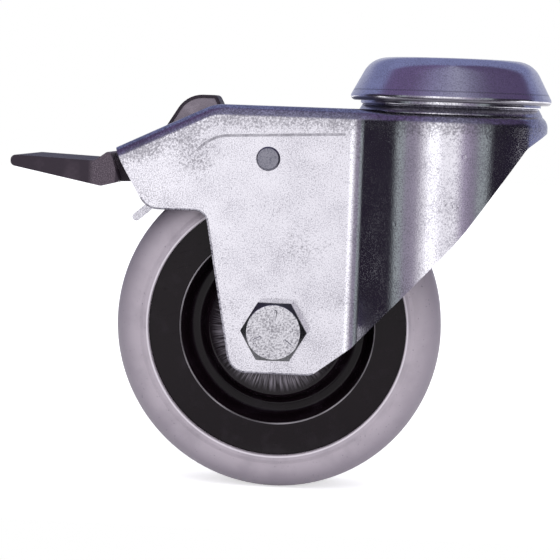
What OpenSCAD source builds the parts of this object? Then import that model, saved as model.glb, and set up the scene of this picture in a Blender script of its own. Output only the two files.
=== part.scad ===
// Braked swivel castor: bolt-hole head, pressed fork, moulded wheel and foot brake
// Millimetres, with the origin at the centre of the bolt hole on the top face
// Z points up along the swivel axis, and X points to the castor's front

/* [Overall] */
// Room between the top of the wheel and the top face
wheel_room = 25; // [24:0.5:29]
// Distance from the swivel axis back to the axle
trail = 37.5; // [35:0.5:40]

/* [Wheel] */
// Diameter over the tyre
wheel_d = 75; // [72:0.5:76]
// Width of the tyre
tyre_w = 22; // [18:0.5:24]
// Radial thickness of the tyre at its side
tyre_band = 7.9; // [6.5:0.1:9]
// Radius of the tyre's shoulder
tyre_shoulder = 5; // [2:0.5:7]
// Height of the rib that keys the tyre to the wheel centre
key_h = 1.6; // [0.8:0.1:2.5]
// Step from the tyre's side down to the wheel centre's flange
flange_step = 1; // [0.4:0.1:2]
// Radius at which the wheel centre's flange turns inwards
flange_inner_r = 22.4; // [21:0.2:25]
// Depth of the groove inside the flange
web_groove = 5.2; // [3:0.2:6]
// Radius of the raised disc round the hub
disc_r = 16; // [13:0.5:18]
// Radius of the hub's end face
hub_face_r = 9; // [8:0.5:11]

/* [Axle] */
// Diameter of the axle bolt
bolt_d = 8; // [6:1:9]
// Width across the flats of the bolt head and the nut
hex_af = 13; // [12:0.5:15]
// Height of the bolt head
bolt_head_h = 5.3; // [4:0.1:7]
// Height of the nut's hexagon
nut_h = 6.2; // [5:0.1:8]
// Height of the collar that holds the nut's insert
nut_collar_h = 2; // [1.5:0.1:3]
// Wall of the sleeve that the wheel turns on
sleeve_wall = 1.9; // [1.2:0.1:2.5]

/* [Fork] */
// Thickness of the fork's sheet
sheet_t = 2; // [1.6:0.1:2.2]
// Outside radius of the rolled top edge
roll_r = 3; // [2.5:0.1:3.5]
// Radius of the hollow that leads from cheek to nose
blend_r = 14.6; // [10:0.2:16]
// Distance from the swivel axis to the middle of the bend in the top
crest_x = 53.2; // [51:0.2:55]
// Outside radius of the bend in the top
crest_r = 10; // [6:0.5:14]
// Slope of the tail below level
tail_slope = 25.6; // [22:0.2:28]
// Length of the tail along its slope
tail_len = 24.6; // [22:0.2:26]
// Length of the tail's rear edge, square to its slope
tail_edge = 15.6; // [14:0.2:17]
// Depth of the cheek's lower edge below the top, behind the leg
cheek_h = 24.2; // [22:0.2:26]
// Half width of the leg at the axle's height
leg_half_w = 12; // [10:0.2:14]
// Distance from the axle to the leg's foot
leg_foot = 10.2; // [9:0.2:12]
// Height of the lip at the very front
lip_h = 3.4; // [2.8:0.1:5]
// Depth of the crease line below the top
crease_drop = 6.2; // [5:0.2:8]
// How far the neck under the head stands in from the nose
neck_inset = 2.2; // [1.8:0.1:2.4]

/* [Head] */
// Thickness of the head cup's sheet
cup_t = 2; // [1.6:0.1:2.4]
// How far the head cup's rim stands out past the fork's neck
cup_overhang = 2.8; // [1.6:0.1:4]
// Distance from the rim in to the middle of the dome's shoulder
dome_inset = 8.2; // [7:0.1:9]
// Height of the head cup
cup_h = 9.9; // [9:0.1:10.4]
// Radius of the dome's shoulder
dome_r = 6; // [5:0.1:7]
// Flare of the dome's wall from upright
dome_flare = 28; // [22:1:32]
// Radius of the bolt hole
bore_r = 5.25; // [4:0.05:6.25]
// Wall of the hollow kingpin
kingpin_wall = 1.75; // [1.2:0.05:2]
// Radius of the kingpin's upper flange
flange_r = 9.4; // [9:0.1:9.8]
// Thickness of the kingpin's flanges
flange_t = 1.2; // [0.8:0.1:1.6]

/* [Bearing] */
// Diameter of the upper balls
upper_ball_d = 5; // [4:0.1:5]
// Number of upper balls
upper_balls_n = 18; // [12:1:19]
// Radius of the upper balls' track
upper_track_r = 15.5; // [15:0.1:15.8]
// Diameter of the lower balls
lower_ball_d = 4; // [3:0.1:4]
// Number of lower balls
lower_balls_n = 18; // [12:1:18]
// Radius of the lower balls' track
lower_track_r = 12.7; // [12.4:0.1:13]
// Thickness of the lower race
race_t = 2; // [1.5:0.1:2.2]
// Thickness of the notched locking ring
lock_t = 2; // [1.5:0.1:2.5]
// Radius of the locking ring
lock_r = 17.4; // [16.5:0.1:17.6]
// Width of each notch in the locking ring
notch_w = 2.6; // [2.3:0.1:2.8]

/* [Brake] */
// Thickness of the brake plate
plate_t = 1.8; // [1.2:0.1:2]
// Gap between the tyre's top and the brake plate
plate_gap = 2; // [1.6:0.1:2.4]
// Angle that the brake plate rocks through
rock_deg = 3.5; // [3:0.1:3.6]
// Angle that the lever turns through on its pin
lever_deg = 20; // [18:1:24]
// Diameter of the plate's pivot rivets
rivet_d = 4; // [3:0.1:4.4]
// Diameter of the lever's pin
pin_d = 4; // [3:0.1:4.4]
// Distance of the lever's pin in front of the tail's end, along the slope
pin_in = 9.05; // [8.5:0.05:10]
// Depth of the lever's pin below the tail's inner face
pin_drop = 5.5; // [5:0.1:6]
// Length of the pedal behind the pin
pedal_len = 35.2; // [30:0.2:42]
// Half width of the pedal
pedal_half_w = 15; // [13:0.2:18]
// Thickness of the pedal at its tip
pedal_tip_t = 2.4; // [1.8:0.1:3.5]
// Half width of the release tab
tab_half_w = 4.2; // [3:0.1:4.6]
// Height that the release tab stands above the level top
tab_h = 2; // [1:0.1:3]

/* [Hidden] */
$fn = 96;

// Clearances: running fits, seats, and ball tracks
run_gap = 0.1;
seat_gap = 0.05;
side_gap = 0.2;
track_gap = 0.1;
eps = 0.01;

// Largest step between the points on an arc
arc_step = 9;

// Head stack, counted down from the top face
upper_groove = 0.4;
lower_groove = 0.3;
upper_ball_z = -cup_t - upper_ball_d / 2 - track_gap + upper_groove;
boss_top_z = upper_ball_z - upper_ball_d / 2 - track_gap + upper_groove;
lower_ball_z = boss_top_z - sheet_t - lower_ball_d / 2 - track_gap + lower_groove;
race_top_z = lower_ball_z - lower_ball_d / 2 - track_gap + lower_groove;
lock_top_z = race_top_z - race_t;
lock_bottom_z = lock_top_z - lock_t;
kingpin_r = bore_r + kingpin_wall;
collar_r = kingpin_r + 1.6;
kingpin_foot_t = 1.6;
kingpin_bottom_z = lock_bottom_z - kingpin_foot_t;

// Fork: its level top lies below the raised boss that carries the balls
boss_h = 5.6;
boss_r = lock_r + 1.2;
ledge_h = 1.3;
web_z = boss_top_z - boss_h;
ledge_z = web_z + ledge_h;
inner_half = tyre_w / 2 + plate_t + 2 * run_gap;
cheek_y = inner_half + sheet_t;

// Hollow between cheek and nose: its centre lies on a 3-4-5 triangle from the swivel axis
blend_y = cheek_y + blend_r;
blend_x = -0.75 * blend_y;
nose_r = 1.25 * blend_y - blend_r;
neck_r = nose_r - neck_inset;
cup_r = neck_r + cup_overhang;
dome_x = cup_r - dome_inset;

wheel_r = wheel_d / 2;
castor_h = wheel_d + wheel_room;
axle_x = -trail;
axle_z = wheel_r - castor_h;

// The bend in the top turns about this point
bend_x = -crest_x + crest_r * tan(tail_slope / 2);
bend_z = web_z - crest_r;

// Straight part of the tail behind the bend
tail_straight = tail_len - crest_r * tan(tail_slope / 2);

// A point on the tail, counted back from the bend along the slope and up square to it
function on_tail(back, up) = [
    bend_x - back * cos(tail_slope) - (crest_r + up) * sin(tail_slope),
    bend_z - back * sin(tail_slope) + (crest_r + up) * cos(tail_slope)
];

// Wheel
hub_r = wheel_r - tyre_band;
hub_half = inner_half - side_gap;
sleeve_r = bolt_d / 2 + run_gap + sleeve_wall;
flange_y = tyre_w / 2 - 0.4 - flange_step;

// Brake plate: the flat lies over the tyre, the rivets just below it
flat_z = axle_z + wheel_r + plate_gap + plate_t / 2;
rivet = [axle_x - 2.9, flat_z - 1.8];
ear_in = inner_half - run_gap - plate_t;
tooth_x = -(lock_r - 1.7);
tooth_top_z = lock_bottom_z - 0.5;
lock_teeth = 24;

// A point turned about the pivot rivets, rear end down for a positive angle
function rocked(p, a) = rivet + [
    (p[0] - rivet[0]) * cos(a) - (p[1] - rivet[1]) * sin(a),
    (p[0] - rivet[0]) * sin(a) + (p[1] - rivet[1]) * cos(a)
];

// The shoe is concentric with the wheel when locked, so at rest its centre lies further back
shoe_gap = 0.15;
shoe_centre = rocked([axle_x, axle_z], -rock_deg);
shoe_mid_r = wheel_r + shoe_gap + plate_t / 2;
shoe_start = 114;
shoe_end = 131;
shoe_tail = 7.6;
ear_start = shoe_start + 2;
ear_end = shoe_end + 1;

// A point of the shoe's middle line at angle a, and r further out
function on_shoe(a, r = 0) = shoe_centre + (shoe_mid_r + r) * [cos(a), sin(a)];
knee_x = on_shoe(shoe_start)[0] + (flat_z - on_shoe(shoe_start)[1]) * tan(shoe_start) * -1;

// Lever: an eccentric cam under the tail pushes its pin down as the pedal goes down
pin = on_tail(tail_straight - pin_in, -sheet_t - pin_drop);
pin_locked = rocked(pin, rock_deg);
cam_lift = (pin - pin_locked) * [-sin(tail_slope), cos(tail_slope)];
cam_turn = lever_deg + rock_deg;
cam_gap = 0.15;
cam_throw = cam_lift / (2 * sin(cam_turn / 2));
cam_r = pin_drop - cam_gap + cam_throw * sin(cam_turn / 2);
cam_aim = tail_slope - cam_turn / 2;
cam = pin + cam_throw * [cos(cam_aim), sin(cam_aim)];
lever_half_w = ear_in - side_gap;
slot_half_w = tab_half_w + 0.5;
tab_front_x = bend_x - 1.4;

// Points on a true arc about c, from angle a0 to a1
function arc(c, r, a0, a1) = let (n = max(1, ceil(abs(a1 - a0) / arc_step)))
    [for (k = [0:n]) c + r * [cos(a0 + (a1 - a0) * k / n), sin(a0 + (a1 - a0) * k / n)]];
function unit(v) = v / norm(v);
function angle_of(v) = atan2(v[1], v[0]);

// Corner i of outline p rounded to radius r, as points on its arc
function to_prev(p, i) = unit(p[(i + len(p) - 1) % len(p)] - p[i]);
function to_next(p, i) = unit(p[(i + 1) % len(p)] - p[i]);
function round_corner(p, r, i) = let (
    a = to_prev(p, i),
    b = to_next(p, i),
    half = acos(a * b) / 2,
    centre = p[i] + unit(a + b) * r / sin(half),
    from = p[i] + a * r / tan(half) - centre,
    to = p[i] + b * r / tan(half) - centre,
    start = angle_of(from)
) arc(centre, r, start, start + atan2(cross(from, to), from * to));

// Outline p with corner i rounded to radius r[i]
function rounded(p, r) = [for (i = [0:len(p) - 1], q = r[i] > 0 ? round_corner(p, r[i], i) : [p[i]]) q];

// Outline of a sheet t thick about the middle line p, with a round far end where cap is true
function side_of(a, b) = [a[1] - b[1], b[0] - a[0]] / norm(b - a);
function mitre(p, i) = let (
    n = len(p),
    before = i > 0 ? side_of(p[i - 1], p[i]) : side_of(p[0], p[1]),
    after = i < n - 1 ? side_of(p[i], p[i + 1]) : before
) (before + after) / (1 + before * after);
function sheet(p, t, cap = false) = let (
    n = len(p),
    end = angle_of(p[n - 1] - p[n - 2])
) concat(
    [for (i = [0:n - 2]) p[i] + mitre(p, i) * t / 2],
    cap ? arc(p[n - 1], t / 2, end + 90, end - 90)
        : [p[n - 1] + mitre(p, n - 1) * t / 2, p[n - 1] - mitre(p, n - 1) * t / 2],
    [for (i = [n - 2:-1:0]) p[i] - mitre(p, i) * t / 2]
);

// A drawing in X and Z, made w wide about Y = 0
module across(w) {
    rotate([90, 0, 0]) translate([0, 0, -w / 2]) linear_extrude(w) children();
}

// A drawing in radius and Y, turned about an axis along Y through p
module about_y(p) {
    translate([p[0], 0, p[1]]) rotate([-90, 0, 0]) rotate_extrude() children();
}

// Outline of the rolled edge, from depth below the top up and over to reach past the roll,
// kept to thousandths so that the level, hollow and round stretches meet without a step
function snap(p) = [round(p[0] * 1000) / 1000, round(p[1] * 1000) / 1000];
function roll_outer(depth) = [
    for (p = concat([[0, -depth]], arc([roll_r, -roll_r], roll_r, 180, 90))) snap(p)
];
function roll_inner(depth) = [for (p = concat(
    arc([roll_r, -roll_r], roll_r - sheet_t, 90, 180),
    [[sheet_t, -depth]]
)) snap(p)];

// Section of the fork's top: a level sheet whose edges roll down to the cheeks
module channel_section(top) {
    outer = roll_outer(roll_r + 1.2);
    inner = roll_inner(roll_r + 1.2);
    translate([0, top]) polygon(concat(
        [for (p = outer) p - [cheek_y, 0]],
        [for (i = [len(outer) - 1:-1:0]) [cheek_y - outer[i][0], outer[i][1]]],
        [for (i = [len(inner) - 1:-1:0]) [cheek_y - inner[i][0], inner[i][1]]],
        [for (p = inner) p - [cheek_y, 0]]
    ));
}

// Section of a wall at radius r, rolled over to a level sheet that runs inwards or outwards
module rolled_section(r, reach, outwards) {
    depth = castor_h;
    line = concat(
        roll_outer(depth),
        [[roll_r + reach, 0], [roll_r + reach, -sheet_t]],
        roll_inner(depth)
    );
    polygon([for (p = line) [r + outwards * p[0], web_z + p[1]]]);
}

// Section of the raised boss: neck, ledge, wall and top, with both ball tracks
module boss_section() {
    r = 1.6;
    in_r = r - sheet_t * 0.6;
    low = web_z - sheet_t;
    bore = collar_r + 1.4;
    difference() {
        polygon(rounded([
            [bore, boss_top_z],
            [boss_r, boss_top_z],
            [boss_r, ledge_z],
            [neck_r, ledge_z],
            [neck_r + 0.9, web_z - 0.3],
            [neck_r + 0.9, low],
            [neck_r - sheet_t, low],
            [neck_r - sheet_t, ledge_z - sheet_t],
            [boss_r - sheet_t, ledge_z - sheet_t],
            [boss_r - sheet_t, boss_top_z - sheet_t],
            [bore, boss_top_z - sheet_t]
        ], [0, r, 0, 0.5, 0, 0, 0.4, 0.8, 0.8, in_r, 0]));
        translate([upper_track_r, upper_ball_z]) circle(upper_ball_d / 2 + track_gap);
        translate([lower_track_r, lower_ball_z]) circle(lower_ball_d / 2 + track_gap);
    }
}

// Points of the cut that rises from the leg's foot to the nose
function foot_corner() = [axle_x + 8.4, axle_z - leg_foot];
function knee_corner() = [axle_x + leg_half_w + 5.4, axle_z - 3.4];
function foot_at(x) = foot_corner() + (knee_corner() - foot_corner()) * (x - foot_corner()[0])
    / (knee_corner()[0] - foot_corner()[0]);

// Side view of one flat cheek with its leg, below the rolled edge
module cheek_side() {
    lap = roll_r + 1;
    cheek_z = web_z - cheek_h;
    leg_back = axle_x - leg_half_w;
    bend_centre = [bend_x, bend_z];
    polygon(rounded([
        on_tail(tail_straight, -lap),
        on_tail(tail_straight - 0.9, -tail_edge),
        [leg_back - 4.8, cheek_z],
        [leg_back + 1.9, axle_z - leg_foot],
        foot_corner(),
        foot_at(blend_x),
        [blend_x, web_z - lap],
        [bend_x, web_z - lap],
        bend_centre + (crest_r - lap) * [-sin(tail_slope / 2), cos(tail_slope / 2)],
        on_tail(0, -lap)
    ], [0, 5, 3, 4.5, 2.5, 0, 0, 0, 0, 0]));
}

// What the rising cut takes away from the nose, in side view
module nose_cut() {
    polygon(rounded([
        foot_at(blend_x - 1),
        knee_corner(),
        [3.2, axle_z * 0.55 + web_z * 0.45],
        [nose_r - 5, web_z - 7.6],
        [nose_r + 2, web_z - lip_h + 0.8],
        [nose_r + 2, 2 * axle_z],
        [blend_x - 1, 2 * axle_z]
    ], [0, 5, 40, 4, 0, 0, 0]));
}

// A drawing in plan, as deep as the whole castor
module plan() {
    translate([0, 0, -2 * castor_h]) linear_extrude(4 * castor_h) children();
}

// The nose and the hollows beside it, from the cheeks' ends forward
module nose() {
    centre = [blend_x, blend_y];
    inset = blend_r + roll_r + 2;
    seam = centre + inset * [0.6, -0.8];
    difference() {
        union() {
            difference() {
                rotate_extrude() rolled_section(nose_r, 1.5, -1);
                plan() polygon([[0, 0], 2 * centre, 2 * [centre[0], -centre[1]]]);
            }
            for (s = [-1, 1]) intersection() {
                translate([blend_x, s * blend_y, 0]) rotate_extrude() rolled_section(blend_r, 4, 1);
                plan() polygon([[0, 0], [blend_x, 0], [blend_x, s * blend_y]]);
            }
            translate([0, 0, web_z - sheet_t]) linear_extrude(sheet_t) polygon([
                [blend_x, inset - blend_y],
                [blend_x, blend_y - inset],
                seam,
                [seam[0], -seam[1]]
            ]);
        }
        cylinder(h = 3 * castor_h, r = neck_r - sheet_t / 2, center = true);
        across(6 * nose_r) nose_cut();
    }
}

// Notch-like window in the sloping tail for the release tab
module tab_slot() {
    rear = on_tail(tail_straight - pin_in + 2.2, 0);
    front_x = tab_front_x + 1;
    r = 1.5;
    translate([0, 0, web_z - castor_h / 4]) linear_extrude(castor_h / 4 + 1) polygon(rounded([
        [rear[0], -slot_half_w],
        [front_x, -slot_half_w],
        [front_x, slot_half_w],
        [rear[0], slot_half_w]
    ], [r, r, r, r]));
}

// Coined crease along the upper part of each cheek, falling away at the rear
module crease() {
    depth = 0.3;
    w = 0.7;
    z = web_z - crease_drop;
    front = [blend_x - 1, z + 0.4];
    r = 9;
    knee = [-crest_x + 4, z - 0.8];
    line = concat([front], arc(knee - [0, r], r, 90, 142));
    for (s = [-1, 1]) translate([0, s * cheek_y, 0]) across(2 * depth) polygon(sheet(line, w, true));
}

module fork() {
    color("lightsteelblue") difference() {
        union() {
            // Top of the fork: level, bend and tail
            translate([bend_x, 0, 0]) rotate([90, 0, 90])
                linear_extrude(blend_x - bend_x) channel_section(web_z);
            translate([bend_x, 0, bend_z]) rotate([0, -90, 0]) rotate([90, 0, 0])
                rotate_extrude(angle = tail_slope) rotate([0, 0, -90]) channel_section(crest_r);
            translate([bend_x, 0, bend_z]) rotate([0, -tail_slope, 0])
                translate([-tail_straight, 0, 0]) rotate([90, 0, 90])
                linear_extrude(tail_straight) channel_section(crest_r);
            for (s = [-1, 1]) translate([0, s * (cheek_y - sheet_t / 2), 0])
                across(sheet_t) cheek_side();
            nose();
            rotate_extrude() boss_section();
        }
        // Holes for the axle bolt and the pivot rivets
        translate([axle_x, 0, axle_z]) rotate([90, 0, 0])
            cylinder(h = 4 * cheek_y, r = bolt_d / 2 + run_gap, center = true);
        translate([rivet[0], 0, rivet[1]]) rotate([90, 0, 0])
            cylinder(h = 4 * cheek_y, r = rivet_d / 2 + seat_gap, center = true);
        tab_slot();
        crease();
    }
}

module dust_ring() {
    h = 1.2;
    color("silver") translate([0, 0, ledge_z]) rotate_extrude() polygon(rounded([
        [boss_r + seat_gap, 0],
        [neck_r + 0.45, 0],
        [neck_r + 0.45, h],
        [boss_r + seat_gap, h]
    ], [0, 0.3, 0.3, 0]));
}

module head_cup() {
    dome = arc([dome_x, -dome_r], dome_r - cup_t / 2, 90, dome_flare);
    wall_from = dome[len(dome) - 1];
    wall_len = (wall_from[1] + cup_h - cup_t / 2) / cos(dome_flare);
    line = concat(
        [
            [kingpin_r + seat_gap, -cup_t / 2 - flange_t],
            [flange_r + 0.8, -cup_t / 2 - flange_t],
            [flange_r + 1.8, -cup_t / 2]
        ],
        dome,
        [wall_from + wall_len * [sin(dome_flare), -cos(dome_flare)]]
    );
    color("lightsteelblue") rotate_extrude() difference() {
        polygon(sheet(line, cup_t, true));
        translate([upper_track_r, upper_ball_z]) circle(upper_ball_d / 2 + track_gap);
    }
}

module kingpin() {
    color("silver") difference() {
        union() {
            translate([0, 0, -flange_t]) cylinder(h = flange_t, r = flange_r);
            translate([0, 0, kingpin_bottom_z]) cylinder(h = -kingpin_bottom_z, r = kingpin_r);
            translate([0, 0, race_top_z]) cylinder(h = -race_top_z - flange_t - cup_t, r = collar_r);
            translate([0, 0, kingpin_bottom_z]) rotate_extrude() polygon(rounded([
                [0, 0],
                [collar_r - 0.4, 0],
                [collar_r, kingpin_foot_t],
                [0, kingpin_foot_t]
            ], [0, 0.8, 0, 0]));
        }
        cylinder(h = 4 * castor_h, r = bore_r, center = true);
    }
}

module lower_race() {
    color("silver") rotate_extrude() difference() {
        polygon(rounded([
            [kingpin_r + seat_gap, lock_top_z],
            [lower_track_r + 3.5, lock_top_z],
            [lower_track_r + 3.5, race_top_z],
            [kingpin_r + seat_gap, race_top_z]
        ], [0, 0.5, 0.5, 0]));
        translate([lower_track_r, lower_ball_z]) circle(lower_ball_d / 2 + track_gap);
    }
}

module lock_ring() {
    depth = 3.5;
    color("silver") translate([0, 0, lock_bottom_z]) difference() {
        cylinder(h = lock_t, r = lock_r);
        translate([0, 0, -1]) cylinder(h = lock_t + 2, r = kingpin_r + seat_gap);
        for (i = [0:lock_teeth - 1]) rotate(i * 360 / lock_teeth)
            translate([lock_r - depth, -notch_w / 2, -1]) cube([depth + 1, notch_w, lock_t + 2]);
    }
}

// A ring of n balls of diameter d on a track of radius r at height z
module ball_ring(n, d, r, z) {
    for (i = [0:n - 1]) rotate(i * 360 / n) translate([r, 0, z]) sphere(d = d, $fn = 32);
}

module upper_balls() {
    color("gainsboro") ball_ring(upper_balls_n, upper_ball_d, upper_track_r, upper_ball_z);
}

module lower_balls() {
    color("gainsboro") ball_ring(lower_balls_n, lower_ball_d, lower_track_r, lower_ball_z);
}

// A hexagon prism with its upper corners chamfered, standing on z = 0
module hexagon(af, h) {
    corner = af / 2 / cos(30);
    intersection() {
        cylinder(h = h, r = corner, $fn = 6);
        union() {
            translate([0, 0, h - 1]) cylinder(h = 1, r1 = af / 2 + 1.3, r2 = af / 2 - 0.45);
            cylinder(h = h - 1 + eps, r = af / 2 + 1.3);
        }
    }
}

module axle_bolt() {
    nut_end = cheek_y + nut_h + nut_collar_h + 1.5;
    color("silver") {
        translate([axle_x, 0, axle_z]) rotate([90, 0, 0]) difference() {
            union() {
                translate([0, 0, cheek_y]) hexagon(hex_af, bolt_head_h);
                translate([0, 0, -nut_end + 0.8]) cylinder(h = nut_end + cheek_y - 0.6, r = bolt_d / 2);
                translate([0, 0, -nut_end]) cylinder(h = 0.8, r1 = bolt_d / 2 - 0.8, r2 = bolt_d / 2);
            }
            translate([0, 0, cheek_y + bolt_head_h - 0.3]) cylinder(h = 1, r = hex_af / 2 - 1.3);
        }
    }
}

module axle_nut() {
    collar_r = hex_af / 2 - 0.7;
    pocket_r = bolt_d / 2 + 1.2;
    color("silver") translate([axle_x, cheek_y, axle_z]) rotate([-90, 0, 0]) difference() {
        union() {
            hexagon(hex_af, nut_h);
            cylinder(h = nut_h + nut_collar_h - 0.5, r = collar_r);
            translate([0, 0, nut_h + nut_collar_h - 0.5])
                cylinder(h = 0.5, r1 = collar_r, r2 = collar_r - 0.5);
        }
        translate([0, 0, -1]) cylinder(h = 4 * nut_h, r = bolt_d / 2 + seat_gap);
        translate([0, 0, nut_h]) cylinder(h = 2 * nut_h, r = pocket_r);
    }
}

module nut_insert() {
    pocket_r = bolt_d / 2 + 1.2;
    color("steelblue") translate([axle_x, cheek_y + nut_h, axle_z]) rotate([-90, 0, 0]) difference() {
        cylinder(h = nut_collar_h - 0.4, r = pocket_r - seat_gap);
        translate([0, 0, -1]) cylinder(h = 3 * nut_collar_h, r = bolt_d / 2 + seat_gap);
    }
}

module axle_sleeve() {
    color("silver") translate([axle_x, 0, axle_z]) rotate([90, 0, 0]) difference() {
        cylinder(h = 2 * inner_half, r = sleeve_r, center = true);
        cylinder(h = 4 * inner_half, r = bolt_d / 2 + run_gap, center = true);
    }
}

// Stub rivet with a low head outside the cheek, on the side s
module pivot_rivet(s) {
    head_h = 0.7;
    translate([rivet[0], 0, rivet[1]]) rotate([s * -90, 0, 0]) rotate_extrude() polygon(rounded([
        [0, ear_in + seat_gap],
        [rivet_d / 2, ear_in + seat_gap],
        [rivet_d / 2, cheek_y],
        [rivet_d / 2 + 0.75, cheek_y],
        [rivet_d / 2 + 0.55, cheek_y + head_h],
        [0, cheek_y + head_h]
    ], [0, 0, 0, 0, 0.35, 0]));
}

module pivot_rivet_near() {
    color("silver") pivot_rivet(-1);
}

module pivot_rivet_far() {
    color("silver") pivot_rivet(1);
}

// Both halves of an outline given in radius and Y, for Y above 0
function both_sides(p) = concat(p, [for (i = [len(p) - 1:-1:0]) [p[i][0], -p[i][1]]]);
function both_radii(r) = concat(r, [for (i = [len(r) - 1:-1:0]) r[i]]);

module wheel_centre() {
    floor_y = flange_y - web_groove;
    outline = [
        [sleeve_r + run_gap, hub_half],
        [hub_face_r, hub_half],
        [hub_face_r + 0.9, hub_half - 1.8],
        [disc_r, hub_half - 3.6],
        [disc_r + 1.6, floor_y],
        [flange_inner_r - 1.8, floor_y],
        [flange_inner_r, flange_y],
        [hub_r, flange_y],
        [hub_r, flange_y - 1.6],
        [hub_r + key_h, flange_y - 1.6 - key_h]
    ];
    radii = [0, 0.5, 0.8, 1.6, 1.4, 1.2, 0.5, 0, 0, 0];
    color("#201c26") about_y([axle_x, axle_z]) polygon(rounded(both_sides(outline), both_radii(radii)));
}

module tyre() {
    side_y = tyre_w / 2 - 0.4;
    outline = [
        [hub_r + key_h, flange_y - 1.6 - key_h],
        [hub_r, flange_y - 1.6],
        [hub_r, tyre_w / 2 - 0.1],
        [hub_r + 1.2, tyre_w / 2],
        [hub_r + 2, side_y],
        [wheel_r, side_y]
    ];
    radii = [0, 0, 0.3, 0.4, 0.4, tyre_shoulder];
    color("#a39da6") about_y([axle_x, axle_z]) polygon(rounded(both_sides(outline), both_radii(radii)));
}

// Middle line of the brake plate in side view: toothed tongue, flat, drop and shoe
function plate_line() = concat(
    [[tooth_x, tooth_top_z]],
    arc([tooth_x - plate_t, flat_z + plate_t], plate_t, 0, -90),
    [[knee_x, flat_z]],
    arc(shoe_centre, shoe_mid_r, shoe_start, shoe_end),
    [on_shoe(shoe_end) + shoe_tail * [-sin(shoe_end), cos(shoe_end)]]
);

// Side view of one rear ear, from the shoe up round the lever's pin
function rear_ear() = let (
    r = pin_d / 2 + 1.6,
    front = on_shoe(ear_start, plate_t / 2),
    back = on_shoe(ear_end, plate_t / 2)
) concat(
    arc(pin, r, 10, 190),
    [back],
    arc(shoe_centre, shoe_mid_r, ear_end, ear_start),
    [front]
);

// Side view of one front ear, from the flat down round the pivot rivet
function front_ear(r) = concat(
    [rivet + [r, flat_z - rivet[1]], rivet + [-r, flat_z - rivet[1]]],
    arc(rivet, r, 180, 360)
);

module brake_plate() {
    full = ear_in + plate_t;
    flat_half = 8;
    toe_half = 9;
    ear_r = rivet_d / 2 + 1.6;
    drop_x = on_shoe(ear_start)[0];
    heel_x = on_shoe(ear_end)[0];
    color("gainsboro") difference() {
        union() {
            // Sheet of the plate, trimmed to its plan
            intersection() {
                across(2 * full) polygon(sheet(plate_line(), plate_t, true));
                translate([0, 0, -castor_h]) linear_extrude(castor_h) polygon([
                    [tooth_x + 2, -6],
                    [tooth_x + 2, 6],
                    [tooth_x - 3, 6],
                    [tooth_x - 5, flat_half],
                    [rivet[0] + ear_r + 3, flat_half],
                    [rivet[0] + ear_r, full],
                    [rivet[0] - ear_r, full],
                    [rivet[0] - ear_r - 2, flat_half + 1],
                    [drop_x + 2, flat_half + 1],
                    [drop_x, full],
                    [heel_x, full],
                    [heel_x - 1.5, toe_half],
                    [heel_x - 30, toe_half],
                    [heel_x - 30, -toe_half],
                    [heel_x - 1.5, -toe_half],
                    [heel_x, -full],
                    [drop_x, -full],
                    [drop_x + 2, -flat_half - 1],
                    [rivet[0] - ear_r - 2, -flat_half - 1],
                    [rivet[0] - ear_r, -full],
                    [rivet[0] + ear_r, -full],
                    [rivet[0] + ear_r + 3, -flat_half],
                    [tooth_x - 5, -flat_half],
                    [tooth_x - 3, -6]
                ]);
            }
            // Ears folded down onto the rivets and up to the lever's pin
            difference() {
                union() {
                    across(2 * full) polygon(front_ear(ear_r));
                    across(2 * full) polygon(rear_ear());
                }
                cube([4 * castor_h, 2 * ear_in, 4 * castor_h], center = true);
            }
        }
        // Gaps between the three teeth
        for (s = [-1, 1]) translate([tooth_x - plate_t, s * 2.1 - 1.2, tooth_top_z - 2])
            cube([2 * plate_t, 2.4, 3]);
        for (s = [-1, 1]) translate([tooth_x - plate_t, s * 6.1 - 1.1, tooth_top_z - 2])
            cube([2 * plate_t, 2.2, 3]);
        translate([rivet[0], 0, rivet[1]]) rotate([90, 0, 0])
            cylinder(h = 4 * full, r = rivet_d / 2 + run_gap, center = true);
        translate([pin[0], 0, pin[1]]) rotate([90, 0, 0])
            cylinder(h = 4 * full, r = pin_d / 2 + seat_gap, center = true);
    }
}

module lever_pin() {
    color("silver") translate([pin[0], 0, pin[1]]) rotate([90, 0, 0])
        cylinder(h = 2 * (ear_in + plate_t - seat_gap), r = pin_d / 2, center = true);
}

// Bent leaf that lifts the plate's shoe off the tyre
module return_leaf() {
    t = 0.6;
    w = 8;
    foot_x = rivet[0] + 5;
    z = flat_z + plate_t / 2 + t / 2;
    r = 1.2;
    tip_r = 0.8;
    tip = [tooth_x - 5.5, web_z - sheet_t - tip_r - 0.1];
    rise = atan2(tip[1] - z - 2 * r, tip[0] - foot_x);
    line = concat([[foot_x + 9, z]], arc([foot_x, z + r], r, 270, 90 + rise), [tip]);
    color("gainsboro") difference() {
        union() {
            across(w) polygon(sheet(line, t));
            translate([tip[0], 0, tip[1]]) rotate([90, 0, 0]) cylinder(h = w, r = tip_r, center = true);
        }
        translate([foot_x + 5, 0, z]) cylinder(h = 2 * r, r = 1.3, center = true);
    }
}

module leaf_rivet() {
    x = rivet[0] + 10;
    z = flat_z + plate_t / 2 + 0.6;
    color("silver") translate([x, 0, z]) {
        cylinder(h = 0.6, r1 = 2, r2 = 1.6);
        translate([0, 0, -0.6]) cylinder(h = 0.6 + eps, r = 1.25);
    }
}

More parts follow.
